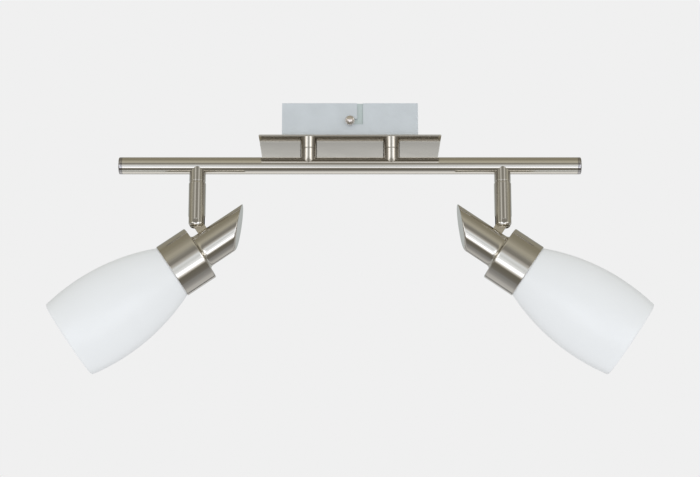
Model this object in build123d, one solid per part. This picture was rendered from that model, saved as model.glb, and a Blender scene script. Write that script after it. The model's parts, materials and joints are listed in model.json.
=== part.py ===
from build123d import *
import os
from math import cos, pi, radians, sin, sqrt

# Two-spot ceiling light: a hooked-on box canopy, a cover plate, a round bar on two posts
# and two heads that swivel and tilt under the bar.
# Millimetres. Origin at the middle of the ceiling plane, +Z up, +X along the bar, -Y to the front.
# Pieces of the right-hand side are made in place and mirrored in the YZ plane for the left.

# Fits
thread_clearance = 0.05     # radial, screwed and plugged pieces of one body
running_clearance = 0.08    # radial, round pieces that turn in each other
seat_gap = 0.05             # curved seats that are soldered or clamped
free_gap = 0.3              # faces that pass each other without touching
overcut = 1.0               # how far a cut runs past the face that it opens
tolerance = 0.01            # for picking edges by size
hexagon_sides = 6

# Ceiling bracket
bracket_length = 80.0
bracket_sheet = 1.5
bracket_flange_width = 30.0
bracket_flange_drop = 21.0
ceiling_slot_spacing = 56.0
ceiling_slot_length = 12.0
ceiling_slot_width = 5.0
cable_hole_diameter = 14.0

# Canopy box and its bayonet screws
canopy_length = 110.0
canopy_depth = 64.0
canopy_height = 28.5
canopy_sheet = 1.0
ball_screw_diameter = 4.0
ball_screw_drop = 15.5
ball_screw_reach = 2.0      # past the inside of the bracket flange
ball_diameter = 8.0
ball_stand_off = 3.2        # ball centre in front of the canopy wall
bayonet_travel = 8.2
bayonet_clearance = 0.35

# Cover plate
cover_length = 147.0
cover_depth = 78.0
cover_thickness = 1.2

# Posts and what fastens them
post_inset = 21.0           # post axis from the end of the canopy
post_diameter = 13.8
post_gap = 7.0              # cover plate to the top of the bar
nipple_diameter = 8.0
nipple_bore = 5.4
nipple_floor = 1.0          # post metal left under the nipple
nipple_spare = 1.5          # nipple above its nut
post_nut_flats = 13.0
post_nut_height = 4.0
post_washer_diameter = 16.0
post_washer_thickness = 1.0

# Terminal block and earth screw
block_width = 17.0
block_cover = 0.4           # block above the clamp screw heads
block_pitch = 9.0
block_poles = 3
barrel_diameter = 5.0
barrel_bore = 2.8
barrel_inset = 0.8
clamp_screw_diameter = 2.5
clamp_screw_head = 3.6
clamp_screw_head_height = 2.0
clamp_screw_offset = 4.2
fixing_screw_diameter = 2.9
fixing_screw_head = 5.0
fixing_screw_head_height = 2.2
earth_screw_diameter = 4.0
earth_screw_head = 7.0
earth_screw_head_height = 2.6
earth_washer_diameter = 9.0
earth_washer_thickness = 0.8
earth_screw_y = 17.0
driver_slot_width = 0.8
driver_slot_depth = 0.8

# Bar
bar_length = 380.0
bar_diameter = 14.0
bar_wall = 1.0
end_cap_length = 3.3
end_cap_round = 1.3
end_cap_plug = 8.0

# Leads
lead_diameter = 2.4
lead_channel = 3.2
lead_bend = 4.0
lead_end_gap = 0.4
lead_over_nipple = 2.4      # lead axis above the top of the nipple
lead_under_bar_roof = 1.4   # lead below the roof of the bar's bore

# Arms
arm_spacing = 250.0
stub_diameter = 13.4
stub_drop = 6.6             # bar underside to the lower face of the stub
stub_round = 0.5
swivel_washer_diameter = 13.0
swivel_washer_thickness = 1.4
swivel_bolt_diameter = 6.0
swivel_bolt_head = 8.4
swivel_bolt_head_height = 1.6
swivel_bolt_thread = 12.0   # depth screwed into the sleeve
sleeve_diameter = 14.0
sleeve_length = 37.3
sleeve_bottom_round = 3.3
sleeve_top_round = 0.5
pivot_height = 4.4          # tilt axis above the lower end of the sleeve
slot_side_gap = 0.2         # lug to each cheek of the sleeve
slot_roof_gap = 0.5

# Tilt lug and its screws
lug_width = 8.2
lug_thickness = 5.6
lug_stem_diameter = 5.0
lug_stem_root = 1.0         # stem inside the lug
lug_nut_flats = 8.0
lug_nut_height = 2.2
lug_stem_spare = 0.4
tilt_screw_diameter = 4.0
tilt_screw_sink = 0.5       # outer end below the round of the sleeve
tilt_screw_slot_width = 0.7
tilt_screw_slot_depth = 0.9
dog_diameter = 2.4
dog_depth = 1.0

# Head housing
axis_drop = 23.0            # tilt axis to the axis of the head
collar_ahead = 11.4         # tilt axis to the back face of the collar
collar_diameter = 47.0
collar_length = 27.3
collar_wall = 0.8
collar_edge = 0.35          # front rim, at the glass
collar_back_round = 1.2
back_wall = 2.5
tube_diameter = 28.4
tube_wall = 1.0
tube_step_round = 3.4
tube_long_side = 51.0       # on the lug side, from the back face of the collar
tube_short_side = 25.0
mitre_cap_thickness = 1.2

# Lampholder for a small screw cap (14 mm thread)
boss_diameter = 24.0
boss_depth = 6.5
flange_diameter = 40.0
flange_thickness = 2.0
skirt_diameter = 28.0
skirt_length = 29.5
holder_floor = 8.0          # flange seat to the bottom of the lamp cavity
shell_bore = 14.0
shell_wall = 0.5
shell_lift = 3.0            # shell above the bottom of the cavity
shell_inset = 2.0           # shell below the lip of the skirt
contact_diameter = 6.0
contact_height = 1.8
holder_screw_circle = 34.4
holder_screw_diameter = 2.9
holder_screw_head = 4.8
holder_screw_head_height = 1.2
holder_screw_bite = 2.0     # depth in the back wall
terminal_post_diameter = 5.0
terminal_post_length = 4.0
terminal_post_spacing = 12.0
terminal_post_drop = 5.0

# Glass shade and its ring
glass_length = 99.6         # in front of the collar
glass_wall = 3.0
glass_top = 3.5
glass_hole_diameter = 29.5
belly_diameter = 73.4
belly_ahead = 68.0          # widest point in front of the collar
neck_clearance = 0.65       # radial, glass neck in the collar
neck_setback = 1.0          # neck ends behind the collar's front edge
neck_round = 2.0
rim_round = 0.4 * glass_wall
ring_diameter = 36.4
ring_height = 5.0
ring_notches = 12
ring_notch_diameter = 3.0

# Rest pose, as photographed
rest_tilt = 34.0            # glass below horizontal
rest_yaw = 2.5              # glass turned to the back

# Levels
canopy_floor = canopy_sheet - canopy_height
cover_top = -canopy_height
cover_underside = cover_top - cover_thickness
bar_z = cover_underside - post_gap - bar_diameter / 2
bar_bore = bar_diameter - 2 * bar_wall
stub_face = bar_z - bar_diameter / 2 - stub_drop
sleeve_top = stub_face - swivel_washer_thickness
sleeve_bottom = sleeve_top - sleeve_length
pivot_z = sleeve_bottom + pivot_height
post_x = canopy_length / 2 - post_inset
arm_x = arm_spacing / 2
bolt_head_seat = bar_z - sqrt((bar_bore / 2) ** 2 - (swivel_bolt_head / 2) ** 2) + free_gap
bolt_head_top = bolt_head_seat + swivel_bolt_head_height
nipple_top = canopy_floor + post_washer_thickness + post_nut_height + nipple_spare
lead_z = nipple_top + lead_over_nipple
bar_lead_z = bar_z + bar_bore / 2 - lead_diameter / 2 - lead_under_bar_roof
collar_bore = collar_diameter - 2 * collar_wall
tube_bore = tube_diameter - 2 * tube_wall
lug_reach = axis_drop - tube_diameter / 2
neck_diameter = collar_bore - 2 * neck_clearance
fixing_places = [-block_pitch / 2, block_pitch / 2]


def rod(diameter, start, end):
    """Round bar between two points."""
    direction = Vector(*end) - Vector(*start)
    low = (Align.CENTER, Align.CENTER, Align.MIN)
    body = Cylinder(diameter / 2, direction.length, align=low)
    return Plane(origin=start, z_dir=direction).location * body


def upright(diameter, low, high, x=0.0, y=0.0):
    """Round bar along Z."""
    return rod(diameter, (x, y, low), (x, y, high))


def hex_nut(flats, height, bore):
    """Hexagon nut standing on Z = 0."""
    body = extrude(RegularPolygon(flats / 2, hexagon_sides, major_radius=False), height)
    return body - upright(bore, -overcut, height + overcut)


def slab(x_range, y_range, z_range):
    """Box from its lowest to its highest corner."""
    sizes = [high - low for low, high in (x_range, y_range, z_range)]
    middle = [(high + low) / 2 for low, high in (x_range, y_range, z_range)]
    return Pos(*middle) * Box(*sizes)


def both_sides(size):
    """Range of a width that is centred on zero."""
    return (-size / 2, size / 2)


def mirrored(shape):
    """The left-hand copy of a right-hand piece."""
    return mirror(shape, about=Plane.YZ)


def cheese_screw(diameter, head, head_height, head_seat, tip, x, y):
    """Cheese-head screw along Z with a driver slot; the head lies beyond head_seat, away from tip."""
    outward = 1 if head_seat > tip else -1
    head_end = head_seat + outward * head_height
    slot_levels = sorted((head_end - outward * driver_slot_depth, head_end + outward * overcut))
    slot = slab(both_sides(head + overcut), both_sides(driver_slot_width), slot_levels)
    screw = upright(diameter, tip, head_seat) + upright(head, head_seat, head_end)
    return Pos(x, y, 0) * (screw - slot)


def make_ceiling_bracket():
    """Pressed bracket: a web on the ceiling and two flanges that hold the bayonet screws."""
    web_half = canopy_depth / 2 - canopy_sheet - free_gap
    web = slab(both_sides(bracket_length), (-web_half, web_half), (-bracket_sheet, 0))
    bracket = web
    for side in (-1, 1):
        flange_y = sorted((side * (web_half - bracket_sheet), side * web_half))
        bracket += slab(both_sides(bracket_flange_width), flange_y, (-bracket_flange_drop, 0))
    slot = extrude(SlotOverall(ceiling_slot_length, ceiling_slot_width), 2 * bracket_sheet, both=True)
    for side in (-1, 1):
        bracket -= Pos(side * ceiling_slot_spacing / 2, 0, 0) * slot
    tapped = ball_screw_diameter + 2 * thread_clearance
    bracket -= rod(tapped, (0, -canopy_depth, -ball_screw_drop), (0, canopy_depth, -ball_screw_drop))
    bracket -= upright(cable_hole_diameter, -2 * bracket_sheet, bracket_sheet)
    earth_hole = earth_screw_diameter + 2 * thread_clearance
    return bracket - upright(earth_hole, -2 * bracket_sheet, bracket_sheet, y=earth_screw_y)


def make_ball_screws():
    """Two ball-head screws, front and back, that the canopy hooks over."""
    wall_face = canopy_depth / 2
    seat = wall_face + seat_gap
    centre = wall_face + ball_stand_off
    radius = ball_diameter / 2
    tip = wall_face - canopy_sheet - free_gap - bracket_sheet - ball_screw_reach
    seat_radius = sqrt(radius ** 2 - (centre - seat) ** 2)
    shank = ball_screw_diameter / 2
    low_steps = Polyline((centre + radius, 0), (tip, 0), (tip, shank), (seat, shank), (seat, seat_radius))
    crown = ThreePointArc((seat, seat_radius), (centre, radius), (centre + radius, 0))
    along_x = revolve(make_face([*low_steps.edges(), crown]), axis=Axis.X)
    rear = Pos(0, 0, -ball_screw_drop) * Rot(0, 0, 90) * along_x
    return Compound([mirror(rear, about=Plane.XZ), rear])


def make_canopy_box():
    """Open-topped sheet box with an L-shaped bayonet slot in its front and back walls."""
    box = slab(both_sides(canopy_length), both_sides(canopy_depth), (-canopy_height, 0))
    box -= slab(
        both_sides(canopy_length - 2 * canopy_sheet),
        both_sides(canopy_depth - 2 * canopy_sheet),
        (canopy_floor, overcut),
    )
    width = ball_screw_diameter + 2 * bayonet_clearance
    level = (-ball_screw_drop - width / 2, -ball_screw_drop + width / 2)
    upright_leg = (bayonet_travel - width / 2, bayonet_travel + width / 2)
    through = both_sides(2 * canopy_depth)
    box -= slab(upright_leg, through, (level[0], overcut))
    box -= slab((0, bayonet_travel), through, level)
    box -= rod(width, (0, -canopy_depth, -ball_screw_drop), (0, canopy_depth, -ball_screw_drop))
    for x in (-post_x, post_x):
        hole = nipple_diameter + 2 * thread_clearance
        box -= upright(hole, cover_top - overcut, canopy_floor + overcut, x=x)
    for y in fixing_places:
        hole = fixing_screw_diameter + 2 * thread_clearance
        box -= upright(hole, cover_top - overcut, canopy_floor + overcut, y=y)
    return box


def make_cover_plate():
    """Flat plate under the canopy."""
    plate = slab(both_sides(cover_length), both_sides(cover_depth), (cover_underside, cover_top))
    for x in (-post_x, post_x):
        hole = nipple_diameter + 2 * thread_clearance
        plate -= upright(hole, cover_underside - overcut, cover_top + overcut, x=x)
    return plate


def make_post():
    """Round post, bored for its nipple and the lead and saddled on the bar."""
    nipple_end = cover_underside - post_gap + nipple_floor
    post = upright(post_diameter, bar_z, cover_underside, x=post_x)
    saddle = bar_diameter + 2 * seat_gap
    post -= rod(saddle, (0, 0, bar_z), (2 * post_x, 0, bar_z))
    tapped = nipple_diameter + 2 * thread_clearance
    post -= upright(tapped, nipple_end - seat_gap, cover_underside + overcut, x=post_x)
    return post - upright(nipple_bore, bar_z, cover_underside, x=post_x)


def make_post_nipple():
    """Hollow threaded nipple from inside the canopy into the post."""
    low = cover_underside - post_gap + nipple_floor
    nipple = upright(nipple_diameter, low, nipple_top, x=post_x)
    return nipple - upright(nipple_bore, low, nipple_top, x=post_x)


def make_post_washer():
    """Flat washer on the canopy floor."""
    high = canopy_floor + post_washer_thickness
    hole = nipple_diameter + 2 * thread_clearance
    washer = upright(post_washer_diameter, canopy_floor, high, x=post_x)
    return washer - upright(hole, canopy_floor, high, x=post_x)


def make_post_nut():
    """Hexagon nut on the post nipple."""
    nut = hex_nut(post_nut_flats, post_nut_height, nipple_diameter + 2 * thread_clearance)
    return Pos(post_x, 0, canopy_floor + post_washer_thickness) * nut


block_length = block_poles * block_pitch
barrel_z = lead_z
clamp_head_seat = barrel_z + barrel_diameter / 2 + free_gap
block_top = clamp_head_seat + clamp_screw_head_height + block_cover
pole_places = [(pole - (block_poles - 1) / 2) * block_pitch for pole in range(block_poles)]
clamp_places = [(side * clamp_screw_offset, y) for side in (-1, 1) for y in pole_places]


def make_terminal_block():
    """Moulded block with a bore for each pole and holes for its screws."""
    block = slab(both_sides(block_width), both_sides(block_length), (canopy_floor, block_top))
    for y in pole_places:
        bore = barrel_diameter + 2 * thread_clearance
        block -= rod(bore, (-block_width, y, barrel_z), (block_width, y, barrel_z))
    for x, y in clamp_places:
        block -= upright(clamp_screw_head + 2 * free_gap, barrel_z, block_top + overcut, x=x, y=y)
    for y in fixing_places:
        hole = fixing_screw_diameter + 2 * thread_clearance
        block -= upright(hole, canopy_floor - overcut, block_top + overcut, y=y)
    return block


def make_terminal_barrels():
    """Brass barrels that join the supply to the leads."""
    half = block_width / 2 - barrel_inset
    barrels = []
    for y in pole_places:
        barrel = rod(barrel_diameter, (-half, y, barrel_z), (half, y, barrel_z))
        barrel -= rod(barrel_bore, (-half, y, barrel_z), (half, y, barrel_z))
        for side in (-1, 1):
            tapped = clamp_screw_diameter + 2 * thread_clearance
            barrel -= upright(tapped, barrel_z, block_top, x=side * clamp_screw_offset, y=y)
        barrels.append(barrel)
    return Compound(barrels)


def make_clamp_screws():
    """Clamp screws, two to each barrel."""
    sizes = (clamp_screw_diameter, clamp_screw_head, clamp_screw_head_height, clamp_head_seat, barrel_z)
    return Compound([cheese_screw(*sizes, x, y) for x, y in clamp_places])


def make_fixing_screws():
    """Screws that hold the block to the canopy floor."""
    sizes = (fixing_screw_diameter, fixing_screw_head, fixing_screw_head_height, block_top, cover_top)
    return Compound([cheese_screw(*sizes, 0, y) for y in fixing_places])


def make_earth_washer():
    """Washer under the head of the earth screw."""
    low = -bracket_sheet - earth_washer_thickness
    hole = earth_screw_diameter + 2 * thread_clearance
    disc = upright(earth_washer_diameter, low, -bracket_sheet, y=earth_screw_y)
    return disc - upright(hole, low, -bracket_sheet, y=earth_screw_y)


def make_earth_screw():
    """Earth screw in the web of the bracket, head down."""
    seat = -bracket_sheet - earth_washer_thickness
    return cheese_screw(
        earth_screw_diameter, earth_screw_head, earth_screw_head_height, seat, -seat_gap, 0, earth_screw_y
    )


def make_bar_tube():
    """Round bar with lead holes under the posts and bolt holes at the arms."""
    half = bar_length / 2 - end_cap_length
    tube = rod(bar_diameter, (-half, 0, bar_z), (half, 0, bar_z))
    tube -= rod(bar_bore, (-half, 0, bar_z), (half, 0, bar_z))
    for side in (-1, 1):
        tube -= upright(nipple_bore, bar_z, cover_underside, x=side * post_x)
        bolt_hole = swivel_bolt_diameter + 2 * running_clearance
        tube -= upright(bolt_hole, stub_face, bar_z, x=side * arm_x)
    return tube


def make_end_cap():
    """Turned cap, plugged into the end of the bar."""
    end = bar_length / 2
    seat = end - end_cap_length
    cap = rod(bar_diameter, (seat, 0, bar_z), (end, 0, bar_z))
    cap = fillet(cap.edges().group_by(Axis.X)[-1], end_cap_round)
    plug = bar_bore - 2 * thread_clearance
    return cap + rod(plug, (seat - end_cap_plug, 0, bar_z), (seat, 0, bar_z))


def make_bar_lead():
    """Sheathed lead from the terminal block through post and bar to the arm."""
    route = FilletPolyline(
        (block_width / 2 + seat_gap, 0, lead_z),
        (post_x, 0, lead_z),
        (post_x, 0, bar_lead_z),
        (arm_x, 0, bar_lead_z),
        (arm_x, 0, bolt_head_top + lead_end_gap),
        radius=lead_bend,
    )
    section = Plane(origin=route @ 0, z_dir=route % 0) * Circle(lead_diameter / 2)
    return sweep(section, path=route)


def make_arm_stub():
    """Fixed stub, saddled under the bar."""
    stub = upright(stub_diameter, stub_face, bar_z, x=arm_x)
    stub = fillet(stub.edges().group_by(Axis.Z)[0], stub_round)
    saddle = bar_diameter + 2 * seat_gap
    stub -= rod(saddle, (0, 0, bar_z), (2 * arm_x, 0, bar_z))
    return stub - upright(swivel_bolt_diameter + 2 * running_clearance, stub_face, bar_z, x=arm_x)


def make_swivel_washer():
    """Thrust washer in the groove between stub and sleeve."""
    hole = swivel_bolt_diameter + 2 * running_clearance
    washer = upright(swivel_washer_diameter, sleeve_top, stub_face, x=arm_x)
    return washer - upright(hole, sleeve_top, stub_face, x=arm_x)


def make_swivel_bolt():
    """Hollow bolt with its head inside the bar, screwed into the sleeve."""
    tip = sleeve_top - swivel_bolt_thread
    bolt = upright(swivel_bolt_diameter, tip, bolt_head_seat, x=arm_x)
    bolt += upright(swivel_bolt_head, bolt_head_seat, bolt_head_top, x=arm_x)
    return bolt - upright(lead_channel, tip, bolt_head_top, x=arm_x)


pivot = (arm_x, 0, pivot_z)
outward = (cos(radians(rest_yaw)), sin(radians(rest_yaw)), 0)
tilt_axis = (sin(radians(rest_yaw)), -cos(radians(rest_yaw)), 0)
glass_direction = (
    cos(radians(rest_tilt)) * outward[0],
    cos(radians(rest_tilt)) * outward[1],
    -sin(radians(rest_tilt)),
)
# Sleeve frame: X outwards, Z up. Head frame: X to the glass, Y from the head's axis to the pivot.
# Axis frame: the head frame moved to the head's axis, at the back face of the collar.
sleeve_frame = Plane(origin=pivot, x_dir=outward, z_dir=(0, 0, 1)).location
head_frame = Plane(origin=pivot, x_dir=glass_direction, z_dir=tilt_axis).location
axis_frame = head_frame * Pos(collar_ahead, -axis_drop, 0)
slot_width = lug_thickness + 2 * slot_side_gap
slot_roof = lug_width / 2 + slot_roof_gap
tilt_screw_end = sqrt((sleeve_diameter / 2) ** 2 - (tilt_screw_diameter / 2) ** 2) - tilt_screw_sink


def make_swivel_sleeve():
    """Turning sleeve, bored for the bolt and slotted at its rounded lower end."""
    top = sleeve_length - pivot_height
    sleeve = upright(sleeve_diameter, -pivot_height, top)
    sleeve = fillet(sleeve.edges().group_by(Axis.Z)[0], sleeve_bottom_round)
    sleeve = fillet(sleeve.edges().group_by(Axis.Z)[-1], sleeve_top_round)
    through = both_sides(2 * sleeve_diameter)
    sleeve -= slab(through, both_sides(slot_width), (-sleeve_diameter, slot_roof))
    tapped = swivel_bolt_diameter + 2 * thread_clearance
    sleeve -= upright(tapped, top - swivel_bolt_thread - seat_gap, top + overcut)
    sleeve -= upright(lead_channel, 0, top)
    hole = tilt_screw_diameter + 2 * thread_clearance
    return sleeve_frame * (sleeve - rod(hole, (0, -sleeve_diameter, 0), (0, sleeve_diameter, 0)))


def make_tilt_screws():
    """Two slotted set screws whose dog points carry the lug."""
    inner = slot_width / 2
    dog_end = lug_thickness / 2 - dog_depth + running_clearance
    screw = rod(tilt_screw_diameter, (0, inner, 0), (0, tilt_screw_end, 0))
    slot_floor = tilt_screw_end - tilt_screw_slot_depth
    screw -= slab(
        both_sides(tilt_screw_slot_width),
        (slot_floor, tilt_screw_end + overcut),
        both_sides(2 * tilt_screw_diameter),
    )
    screw += rod(dog_diameter, (0, dog_end, 0), (0, inner, 0))
    return Compound([sleeve_frame * screw, sleeve_frame * mirror(screw, about=Plane.XZ)])


def make_arm_lead():
    """Lead through bolt and sleeve to the roof of the slot."""
    roof = pivot_z + slot_roof + lead_end_gap
    return upright(lead_diameter, roof, bolt_head_top, x=arm_x)


def make_tilt_lug():
    """Hollow lug, saddled on the rear tube of the head and held by a threaded stem."""
    half = lug_thickness / 2
    lug = rod(lug_width, (0, 0, -half), (0, 0, half))
    lug += slab(both_sides(lug_width), (-axis_drop, 0), (-half, half))
    saddle = tube_diameter + 2 * seat_gap
    lug -= rod(saddle, (-lug_width, -axis_drop, 0), (lug_width, -axis_drop, 0))
    lug += rod(lug_stem_diameter, (0, lug_stem_root - lug_reach, 0), (0, lug_stem_end, 0))
    lug -= rod(lead_channel, (0, lug_width, 0), (0, -axis_drop, 0))
    for side in (-1, 1):
        hole = dog_diameter + 2 * running_clearance
        lug -= rod(hole, (0, 0, side * (half - dog_depth)), (0, 0, side * lug_thickness))
    return head_frame * lug


lug_nut_corner = lug_nut_flats / 2 / cos(pi / hexagon_sides)
lug_nut_seat = sqrt((tube_bore / 2) ** 2 - lug_nut_corner ** 2) - axis_drop
lug_stem_end = lug_nut_seat - lug_nut_height - lug_stem_spare


def make_lug_nut():
    """Nut on the stem, inside the rear tube."""
    nut = hex_nut(lug_nut_flats, lug_nut_height, lug_stem_diameter + 2 * thread_clearance)
    return head_frame * Pos(0, lug_nut_seat - seat_gap, 0) * Rot(90, 0, 0) * nut


# Plane of the mitred rear end, in the axis frame, facing backwards
mitre_middle = (-(tube_long_side + tube_short_side) / 2, 0, 0)
mitre_plane = Plane(
    origin=mitre_middle,
    x_dir=(0, 0, 1),
    z_dir=(-tube_diameter, tube_short_side - tube_long_side, 0),
)
collar_front = collar_length
holder_screw_places = [-holder_screw_circle / 2, holder_screw_circle / 2]


def collar_rim(shell, place):
    """Outer edge of the collar at one of its two ends."""
    return [
        edge
        for edge in shell.edges().filter_by(GeomType.CIRCLE)
        if abs(edge.radius - collar_diameter / 2) < tolerance and abs(edge.arc_center.X - place) < tolerance
    ]


def make_head_housing():
    """Collar and rear tube in one turned shell, mitred at the rear."""
    tube_radius = tube_diameter / 2
    far = -tube_long_side - tube_diameter
    rear = Polyline(
        (-tube_step_round, tube_radius),
        (far, tube_radius),
        (far, tube_bore / 2),
        (back_wall, tube_bore / 2),
        (back_wall, collar_bore / 2),
        (collar_front, collar_bore / 2),
        (collar_front, collar_diameter / 2),
        (0, collar_diameter / 2),
        (0, tube_radius + tube_step_round),
    )
    hollow = RadiusArc((0, tube_radius + tube_step_round), (-tube_step_round, tube_radius), -tube_step_round)
    housing = revolve(make_face([*rear.edges(), hollow]), axis=Axis.X)
    housing = fillet(collar_rim(housing, collar_front), collar_edge)
    housing = fillet(collar_rim(housing, 0), collar_back_round)
    housing = split(housing, bisect_by=mitre_plane, keep=Keep.BOTTOM)
    stem_hole = lug_stem_diameter + 2 * thread_clearance
    housing -= rod(stem_hole, (-collar_ahead, 0, 0), (-collar_ahead, axis_drop, 0))
    for z in holder_screw_places:
        hole = holder_screw_diameter + 2 * thread_clearance
        housing -= rod(hole, (back_wall - holder_screw_bite - seat_gap, 0, z), (back_wall + overcut, 0, z))
    return axis_frame * housing


def make_mitre_cap():
    """Flat plate that closes the mitred end, flush with the tube."""
    plug = rod(tube_bore - 2 * thread_clearance, (-2 * tube_long_side, 0, 0), (0, 0, 0))
    plug = split(plug, bisect_by=mitre_plane, keep=Keep.BOTTOM)
    inside = mitre_plane.offset(-mitre_cap_thickness)
    return axis_frame * split(plug, bisect_by=inside, keep=Keep.TOP)


flange_front = back_wall + flange_thickness
skirt_front = flange_front + skirt_length
cavity_floor = back_wall + holder_floor
shell_diameter = shell_bore + 2 * shell_wall


def make_lampholder():
    """Ceramic lampholder: rear boss, flange, skirt and the cavity for the lamp cap."""
    rear = back_wall - boss_depth
    holder = rod(boss_diameter, (rear, 0, 0), (back_wall, 0, 0))
    holder += rod(flange_diameter, (back_wall, 0, 0), (flange_front, 0, 0))
    holder += rod(skirt_diameter, (flange_front, 0, 0), (skirt_front, 0, 0))
    cavity = shell_diameter + 2 * thread_clearance
    holder -= rod(cavity, (cavity_floor, 0, 0), (skirt_front + overcut, 0, 0))
    for z in holder_screw_places:
        hole = holder_screw_diameter + 2 * thread_clearance
        holder -= rod(hole, (rear, 0, z), (flange_front + overcut, 0, z))
        sink = holder_screw_head + 2 * thread_clearance
        sink_floor = flange_front - holder_screw_head_height
        holder -= rod(sink, (sink_floor, 0, z), (flange_front + overcut, 0, z))
    return axis_frame * holder


def make_holder_screws():
    """Sunk screws that hold the flange to the back wall of the collar."""
    screws = []
    for z in holder_screw_places:
        head_seat = flange_front - holder_screw_head_height
        screw = rod(holder_screw_diameter, (back_wall - holder_screw_bite, 0, z), (head_seat, 0, z))
        screw += rod(holder_screw_head, (head_seat, 0, z), (flange_front, 0, z))
        screws.append(axis_frame * screw)
    return Compound(screws)


def make_screw_shell():
    """Brass shell that takes the lamp cap."""
    low = (cavity_floor + shell_lift, 0, 0)
    high = (skirt_front - shell_inset, 0, 0)
    return axis_frame * (rod(shell_diameter, low, high) - rod(shell_bore, low, high))


def make_centre_contact():
    """Contact at the bottom of the lamp cavity."""
    contact = rod(contact_diameter, (cavity_floor, 0, 0), (cavity_floor + contact_height, 0, 0))
    return axis_frame * fillet(contact.edges().group_by(Axis.X)[-1], contact_height / 3)


def make_holder_terminals():
    """Two terminal posts on the rear face of the lampholder."""
    rear = back_wall - boss_depth
    posts = []
    for side in (-1, 1):
        place = (-terminal_post_drop, side * terminal_post_spacing / 2)
        posts.append(rod(terminal_post_diameter, (rear - terminal_post_length, *place), (rear, *place)))
    return Compound([axis_frame * post for post in posts])


def make_head_lead():
    """Lead through the hollow lug to the rear face of the lampholder."""
    rear = back_wall - boss_depth - seat_gap
    route = FilletPolyline(
        (-collar_ahead, axis_drop + lug_width / 2 - lead_end_gap, 0),
        (-collar_ahead, 0, 0),
        (rear, 0, 0),
        radius=lead_bend,
    )
    section = Plane(origin=route @ 0, z_dir=route % 0) * Circle(lead_diameter / 2)
    return axis_frame * sweep(section, path=route)


# Glass profile: neck, then one arc that is widest at the belly. Inner and outer arcs share a centre.
neck_end = collar_front - neck_setback
mouth = collar_front + glass_length
belly = collar_front + belly_ahead
belly_rise = (belly_diameter - neck_diameter) / 2
glass_arc = ((belly - neck_end) ** 2 + belly_rise ** 2) / (2 * belly_rise)
glass_arc_centre = belly_diameter / 2 - glass_arc


def arc_radius(place, thickness):
    """Distance of the glass from the head's axis, thickness below its outer face."""
    return glass_arc_centre + sqrt((glass_arc - thickness) ** 2 - (place - belly) ** 2)


def arc_place(distance, thickness):
    """Where the rear part of the arc is that far from the head's axis."""
    return belly - sqrt((glass_arc - thickness) ** 2 - (distance - glass_arc_centre) ** 2)


def make_glass_shade():
    """Blown opal glass, open at the front, with a flat holed top that the ring clamps."""
    neck = neck_diameter / 2
    neck_inner = neck - glass_wall
    top_inside = flange_front + glass_top
    outer = ThreePointArc(
        (neck_end, neck), (belly, belly_diameter / 2), (mouth, arc_radius(mouth, 0))
    )
    inner_start = arc_place(neck_inner, glass_wall)
    inner = ThreePointArc(
        (mouth, arc_radius(mouth, glass_wall)),
        (belly, belly_diameter / 2 - glass_wall),
        (inner_start, neck_inner),
    )
    rim = Line(outer @ 1, inner @ 0)
    top = Polyline(
        (inner_start, neck_inner),
        (top_inside, neck_inner),
        (top_inside, glass_hole_diameter / 2),
        (flange_front, glass_hole_diameter / 2),
        (flange_front, neck),
        (neck_end, neck),
    )
    glass = revolve(make_face([outer, rim, inner, *top.edges()]), axis=Axis.X)
    glass = fillet(glass.edges().group_by(Axis.X)[-1], rim_round)
    shoulder = [
        edge
        for edge in glass.edges().filter_by(GeomType.CIRCLE)
        if abs(edge.radius - neck) < tolerance and abs(edge.center().X - flange_front) < tolerance
    ]
    return axis_frame * fillet(shoulder, neck_round)


def make_shade_ring():
    """Threaded ring that clamps the glass on the lampholder, notched for grip."""
    low = flange_front + glass_top
    high = low + ring_height
    ring = rod(ring_diameter, (low, 0, 0), (high, 0, 0))
    ring -= rod(skirt_diameter + 2 * thread_clearance, (low, 0, 0), (high, 0, 0))
    for notch in range(ring_notches):
        groove = rod(ring_notch_diameter, (low, ring_diameter / 2, 0), (high, ring_diameter / 2, 0))
        ring -= Rot(360 / ring_notches * notch, 0, 0) * Pos(0, ring_notch_diameter / 4, 0) * groove
    return axis_frame * ring


central_pieces = {
    "ceiling_bracket": make_ceiling_bracket(),
    "ball_screws": make_ball_screws(),
    "canopy_box": make_canopy_box(),
    "cover_plate": make_cover_plate(),
    "terminal_block": make_terminal_block(),
    "terminal_barrels": make_terminal_barrels(),
    "terminal_clamp_screws": make_clamp_screws(),
    "terminal_fixing_screws": make_fixing_screws(),
    "earth_screw": make_earth_screw(),
    "earth_washer": make_earth_washer(),
    "bar_tube": make_bar_tube(),
}
paired_fasteners = {
    "post_nipples": make_post_nipple(),
    "post_washers": make_post_washer(),
    "post_nuts": make_post_nut(),
}
sided_pieces = {
    "post": make_post(),
    "end_cap": make_end_cap(),
    "bar_lead": make_bar_lead(),
    "arm_stub": make_arm_stub(),
    "swivel_washer": make_swivel_washer(),
    "swivel_bolt": make_swivel_bolt(),
    "swivel_sleeve": make_swivel_sleeve(),
    "tilt_screws": make_tilt_screws(),
    "arm_lead": make_arm_lead(),
    "tilt_lug": make_tilt_lug(),
    "lug_nut": make_lug_nut(),
    "head_housing": make_head_housing(),
    "mitre_cap": make_mitre_cap(),
    "lampholder": make_lampholder(),
    "holder_screws": make_holder_screws(),
    "screw_shell": make_screw_shell(),
    "centre_contact": make_centre_contact(),
    "holder_terminals": make_holder_terminals(),
    "head_lead": make_head_lead(),
    "glass_shade": make_glass_shade(),
    "shade_ring": make_shade_ring(),
}

nodes = dict(central_pieces)
for name, piece in paired_fasteners.items():
    nodes[name] = Compound([piece, mirrored(piece)])
for name, piece in sided_pieces.items():
    nodes["right_" + name] = piece
    nodes["left_" + name] = mirrored(piece)

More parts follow.
